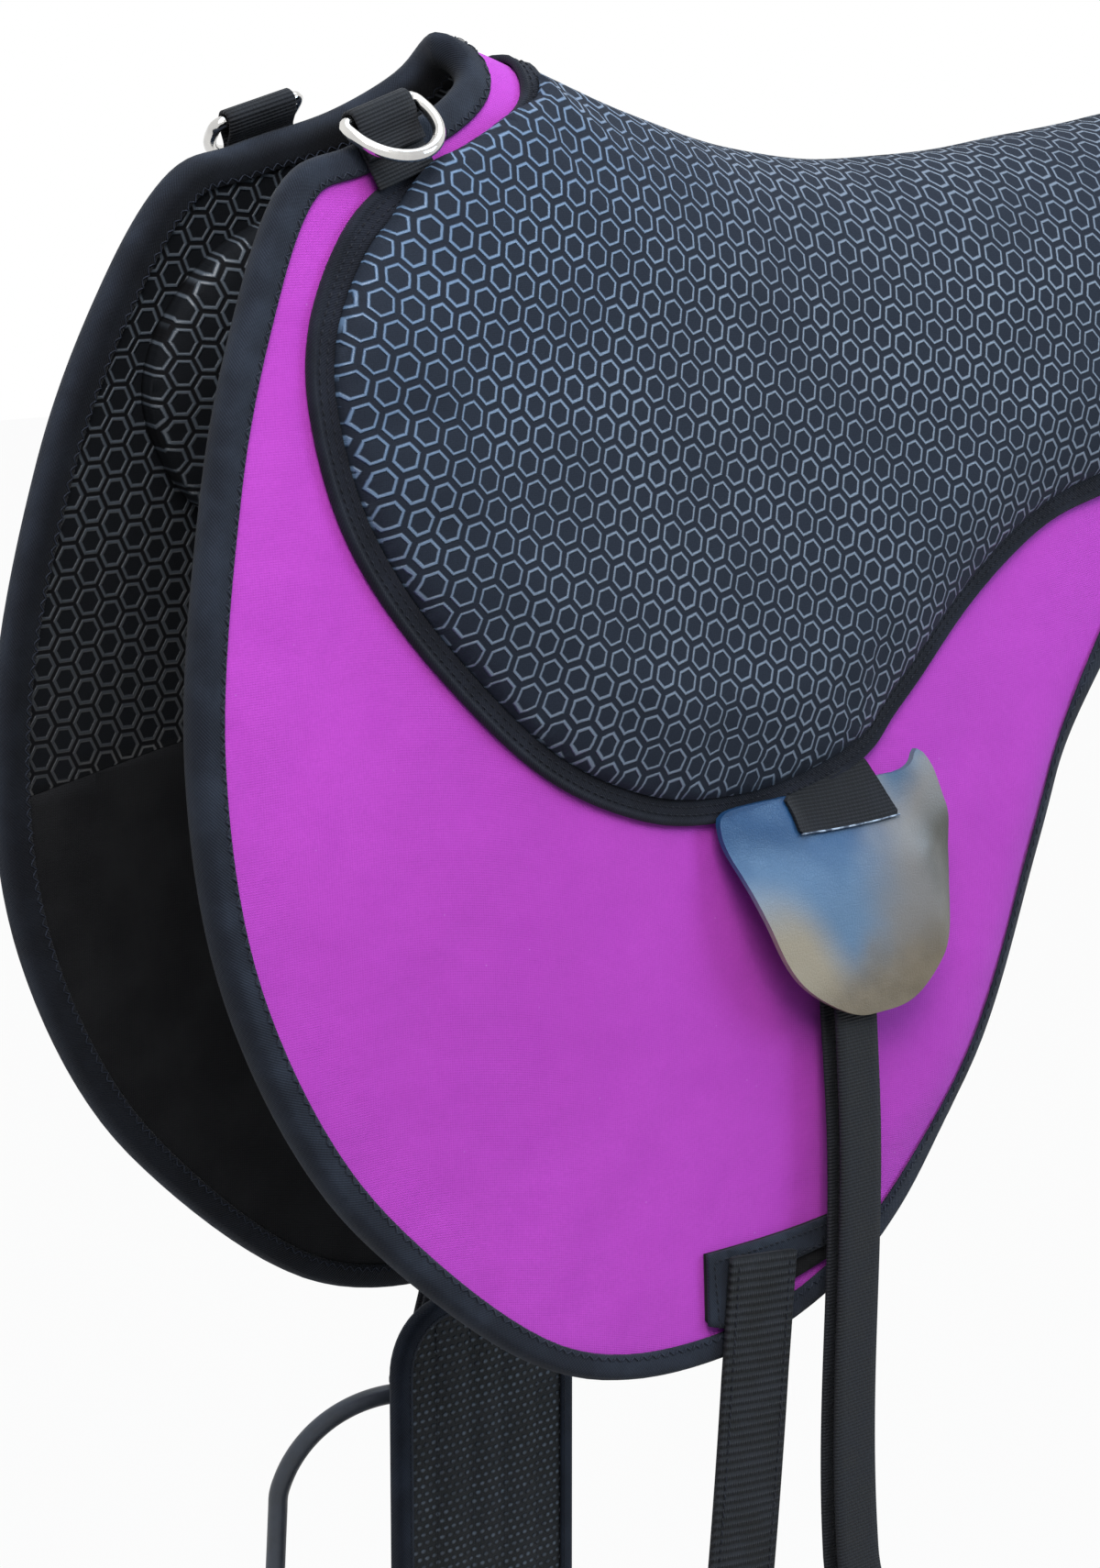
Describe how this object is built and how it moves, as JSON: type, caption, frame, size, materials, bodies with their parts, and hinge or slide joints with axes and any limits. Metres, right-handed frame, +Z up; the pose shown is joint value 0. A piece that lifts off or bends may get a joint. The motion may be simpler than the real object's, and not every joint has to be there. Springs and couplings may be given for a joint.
{
  "type": "bareback pad",
  "caption": "Padded saddle-shaped sheet with a quilted grip seat, underside panels, leather tabs over hanging stirrups, front rings and a buckled girth.",
  "frame": {"origin": "underside of the spine, half way along the pad, where it rests on the horse's back", "axes": "+X towards the rear, +Y towards the off (right) side, +Z up"},
  "size_m": [0.6277, 0.326, 1.0826],
  "materials": {
    "edge_binding": "folded woven tape",
    "felt_core": "felt wadding",
    "girth_binding": "folded woven tape",
    "girth_pad": "spacer mesh over padding",
    "girth_webbing": "ribbed webbing",
    "grip_lining": "grip fabric with raised outlines",
    "near_billet": "ribbed webbing",
    "near_buckle_tongue": "polished nickel plate",
    "near_dee_ring": "polished nickel plate",
    "near_dee_tab": "ribbed webbing",
    "near_girth_buckle": "polished nickel plate",
    "near_girth_patch": "plain woven",
    "near_hanger_webbing": "ribbed webbing",
    "near_leather_tab": "satin leather",
    "near_lower_lining": "plain woven",
    "near_panel": "grip fabric over foam",
    "near_patch_tape": "folded woven tape",
    "near_seat_cover": "grip fabric with raised outlines",
    "near_seat_foam": "open-cell foam",
    "near_stirrup": "dark coated steel",
    "near_stirrup_loop": "ribbed webbing",
    "near_stirrup_ring": "polished nickel plate",
    "near_stirrup_strap": "ribbed webbing",
    "near_strap_keeper": "ribbed webbing",
    "near_tread_pad": "moulded rubber",
    "off_billet": "ribbed webbing",
    "off_buckle_tongue": "polished nickel plate",
    "off_dee_ring": "polished nickel plate",
    "off_dee_tab": "ribbed webbing",
    "off_girth_buckle": "polished nickel plate",
    "off_girth_patch": "plain woven",
    "off_hanger_webbing": "ribbed webbing",
    "off_leather_tab": "satin leather",
    "off_lower_lining": "plain woven",
    "off_panel": "grip fabric over foam",
    "off_patch_tape": "folded woven tape",
    "off_seat_cover": "grip fabric with raised outlines",
    "off_seat_foam": "open-cell foam",
    "off_stirrup": "dark coated steel",
    "off_stirrup_loop": "ribbed webbing",
    "off_stirrup_ring": "polished nickel plate",
    "off_stirrup_strap": "ribbed webbing",
    "off_strap_keeper": "ribbed webbing",
    "off_tread_pad": "moulded rubber",
    "outer_cover": "matt bonded softshell, finely wrinkled",
    "seat_band": "stitched woven tape"
  },
  "bodies": {
    "pad": {"edge_binding": "edge_binding", "felt_core": "felt_core", "grip_lining": "grip_lining", "near_dee_tab": "near_dee_tab", "near_girth_patch": "near_girth_patch", "near_lower_lining": "near_lower_lining", "near_panel": "near_panel", "near_patch_tape": "near_patch_tape", "near_seat_cover": "near_seat_cover", "near_seat_foam": "near_seat_foam", "near_stirrup_loop": "near_stirrup_loop", "off_billet": "off_billet", "off_dee_tab": "off_dee_tab", "off_girth_buckle": "off_girth_buckle", "off_girth_patch": "off_girth_patch", "off_lower_lining": "off_lower_lining", "off_panel": "off_panel", "off_patch_tape": "off_patch_tape", "off_seat_cover": "off_seat_cover", "off_seat_foam": "off_seat_foam", "off_stirrup_loop": "off_stirrup_loop", "outer_cover": "outer_cover", "seat_band": "seat_band"},
    "near_dee": {"near_dee_ring": "near_dee_ring"},
    "off_dee": {"off_dee_ring": "off_dee_ring"},
    "near_tab": {"near_leather_tab": "near_leather_tab", "near_hanger_webbing": "near_hanger_webbing"},
    "off_tab": {"off_leather_tab": "off_leather_tab", "off_hanger_webbing": "off_hanger_webbing"},
    "near_ring": {"near_stirrup_ring": "near_stirrup_ring"},
    "off_ring": {"off_stirrup_ring": "off_stirrup_ring"},
    "near_strap": {"near_stirrup_strap": "near_stirrup_strap"},
    "off_strap": {"off_stirrup_strap": "off_stirrup_strap"},
    "near_keeper": {"near_strap_keeper": "near_strap_keeper"},
    "off_keeper": {"off_strap_keeper": "off_strap_keeper"},
    "near_iron": {"near_stirrup": "near_stirrup", "near_tread_pad": "near_tread_pad"},
    "off_iron": {"off_stirrup": "off_stirrup", "off_tread_pad": "off_tread_pad"},
    "billet": {"near_billet": "near_billet"},
    "girth": {"girth_pad": "girth_pad", "girth_binding": "girth_binding", "girth_webbing": "girth_webbing"},
    "low_buckle": {"near_girth_buckle": "near_girth_buckle"},
    "low_tongue": {"near_buckle_tongue": "near_buckle_tongue"},
    "high_tongue": {"off_buckle_tongue": "off_buckle_tongue"}
  },
  "joints": [
    {"name": "near_dee_swing", "type": "hinge", "parent": "pad", "child": "near_dee", "pos_m": [-0.20402, -0.03507, 0.02439], "axis": [-0.9563, -0.1051, -0.2728], "range_deg": [0, 120]},
    {"name": "near_tab_lift", "type": "hinge", "parent": "pad", "child": "near_tab", "pos_m": [-0.012, -0.07782, -0.24882], "axis": [-0.986, -0.0159, -0.166], "range_deg": [0, 50]},
    {"name": "near_ring_swing", "type": "hinge", "parent": "pad", "child": "near_ring", "pos_m": [-0.004, -0.07983, -0.27843], "axis": [-1, 0, 0], "range_deg": [0, 50]},
    {"name": "near_strap_swing", "type": "hinge", "parent": "near_ring", "child": "near_strap", "pos_m": [-0.004, -0.07983, -0.27843], "axis": [0, -0.9962, 0.0872], "range_deg": [-20, 20]},
    {"name": "near_keeper_slide", "type": "slide", "parent": "near_strap", "child": "near_keeper", "axis": [0, -0.0872, -0.9962], "range_m": [0, 0.02]},
    {"name": "near_stirrup_turn", "type": "hinge", "parent": "near_strap", "child": "near_iron", "pos_m": [-0.004, -0.10875, -0.60902], "axis": [-1, 0, 0], "range_deg": [-45, 60]},
    {"name": "off_dee_swing", "type": "hinge", "parent": "pad", "child": "off_dee", "pos_m": [-0.20402, 0.03507, 0.02439], "axis": [0.9563, -0.1051, 0.2728], "range_deg": [0, 120]},
    {"name": "off_tab_lift", "type": "hinge", "parent": "pad", "child": "off_tab", "pos_m": [-0.012, 0.07782, -0.24882], "axis": [0.986, -0.0159, 0.166], "range_deg": [0, 50]},
    {"name": "off_ring_swing", "type": "hinge", "parent": "pad", "child": "off_ring", "pos_m": [-0.004, 0.07983, -0.27843], "axis": [1, 0, 0], "range_deg": [0, 50]},
    {"name": "off_strap_swing", "type": "hinge", "parent": "off_ring", "child": "off_strap", "pos_m": [-0.004, 0.07983, -0.27843], "axis": [0, 0.9848, 0.1736], "range_deg": [-20, 20]},
    {"name": "off_keeper_slide", "type": "slide", "parent": "off_strap", "child": "off_keeper", "axis": [-0.1444, 0.1718, -0.9745], "range_m": [0, 0.02]},
    {"name": "off_stirrup_turn", "type": "hinge", "parent": "off_strap", "child": "off_iron", "pos_m": [-0.04223, 0.12534, -0.53652], "axis": [0.8737, -0.4402, -0.207], "range_deg": [-4, 60]},
    {"name": "near_billet_swing", "type": "hinge", "parent": "pad", "child": "billet", "pos_m": [-0.046, -0.08541, -0.43365], "axis": [-0.9925, 0.0047, 0.1218], "range_deg": [0, 70]},
    {"name": "girth_swing", "type": "hinge", "parent": "pad", "child": "girth", "pos_m": [-0.046, 0.09579, -0.4827], "axis": [-1, 0, 0], "range_deg": [0, 30]},
    {"name": "near_buckle_swing", "type": "hinge", "parent": "girth", "child": "low_buckle", "pos_m": [-0.046, 0.09579, -0.9983], "axis": [1, 0, 0], "range_deg": [-45, 25]},
    {"name": "near_tongue_swing", "type": "hinge", "parent": "low_buckle", "child": "low_tongue", "pos_m": [-0.046, 0.09579, -0.9983], "axis": [1, 0, 0], "range_deg": [0, 75]},
    {"name": "off_tongue_swing", "type": "hinge", "parent": "pad", "child": "high_tongue", "pos_m": [-0.046, 0.09579, -0.4827], "axis": [-1, 0, 0], "range_deg": [0, 10]}
  ],
  "couplings": [
    {"joint": "near_tab_lift", "follows": "near_ring_swing", "ratio": 1},
    {"joint": "off_tab_lift", "follows": "off_ring_swing", "ratio": 1}
  ]
}
